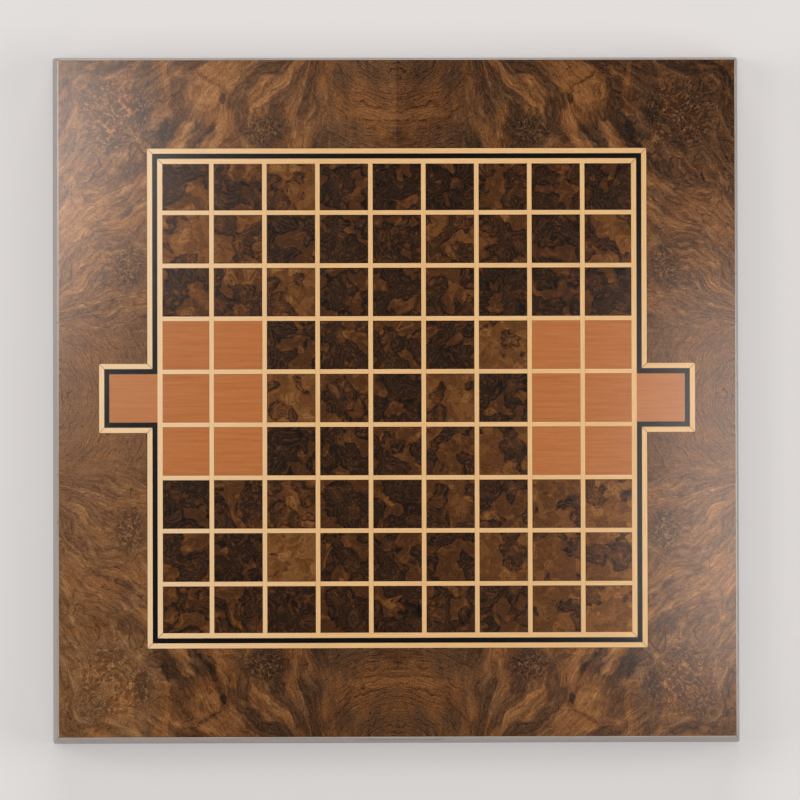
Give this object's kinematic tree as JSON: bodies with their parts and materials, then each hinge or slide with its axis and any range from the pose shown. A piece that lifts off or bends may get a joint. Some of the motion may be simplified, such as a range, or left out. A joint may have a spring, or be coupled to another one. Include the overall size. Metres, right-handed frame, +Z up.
{
  "type": "board game storage box",
  "caption": "Square game box whose inlaid playing board is its hinged lid, over a base with sloping grey sides, padded wells, a thumb cove and small feet.",
  "frame": {"origin": "on the supporting surface, under the middle of the box", "axes": "+Z up out of the playing board, +Y towards the hinged back edge, +X to the right of the player at the front"},
  "size_m": [0.5108, 0.5108, 0.078],
  "materials": {
    "burl_border": "satin lacquered walnut burl veneer",
    "dark_burl": "satin lacquered dark walnut burl veneer",
    "pear_wood": "satin lacquered pear wood veneer",
    "pale_line": "satin lacquered boxwood stringing",
    "black_line": "satin lacquered black dyed veneer",
    "grey_wood": "satin grey dyed sycamore",
    "birch_ply": "sanded and sealed birch plywood",
    "walnut_backing": "satin walnut veneer",
    "plain_walnut": "oiled solid walnut",
    "beech": "bare",
    "lining_suede": "brushed suede cloth",
    "pad_suede": "brushed suede cloth",
    "brass": "satin",
    "rubber": "matte"
  },
  "bodies": {
    "base": {"base_corner_keys": "beech", "base_floor": "birch_ply", "base_wall_back": "grey_wood", "base_wall_front": "grey_wood", "base_wall_left": "grey_wood", "base_wall_right": "grey_wood", "divider_cross_left_1": "plain_walnut", "divider_cross_left_2": "plain_walnut", "divider_cross_middle": "plain_walnut", "divider_cross_right_1": "plain_walnut", "divider_cross_right_2": "plain_walnut", "divider_long_left": "plain_walnut", "divider_long_right": "plain_walnut", "feet": "rubber", "hinge_leaf_base_left": "brass", "hinge_leaf_base_right": "brass", "hinge_pin_left": "brass", "hinge_pin_right": "brass", "hinge_screws_base": "brass", "liner_back": "plain_walnut", "liner_front": "plain_walnut", "liner_left": "plain_walnut", "liner_right": "plain_walnut", "rim_bumpers": "rubber", "well_pads_left": "pad_suede", "well_pads_middle": "pad_suede", "well_pads_right": "pad_suede"},
    "lid": {"black_line": "black_line", "burl_leaf_back_left": "burl_border", "burl_leaf_back_right": "burl_border", "burl_leaf_front_left": "burl_border", "burl_leaf_front_right": "burl_border", "burl_leaf_left_back": "burl_border", "burl_leaf_left_front": "burl_border", "burl_leaf_right_back": "burl_border", "burl_leaf_right_front": "burl_border", "burl_squares": "dark_burl", "edge_strings": "grey_wood", "goal_square_left": "pear_wood", "goal_square_right": "pear_wood", "grid_long_strips": "pale_line", "grid_short_strips": "pale_line", "hinge_leaf_lid_left": "brass", "hinge_leaf_lid_right": "brass", "hinge_screws_lid": "brass", "home_squares": "pear_wood", "inner_light_line": "pale_line", "lid_backing_veneer": "walnut_backing", "lid_core": "birch_ply", "lid_corner_keys": "beech", "lid_lining": "lining_suede", "lid_rail_back": "grey_wood", "lid_rail_front": "grey_wood", "lid_rail_left": "grey_wood", "lid_rail_right": "grey_wood", "outer_light_line": "pale_line"}
  },
  "joints": [
    {"name": "lid_hinge", "type": "hinge", "parent": "base", "child": "lid", "pos_m": [0, 0.24618, 0.05775], "axis": [-1, 0, 0], "range_deg": [0, 95]}
  ]
}
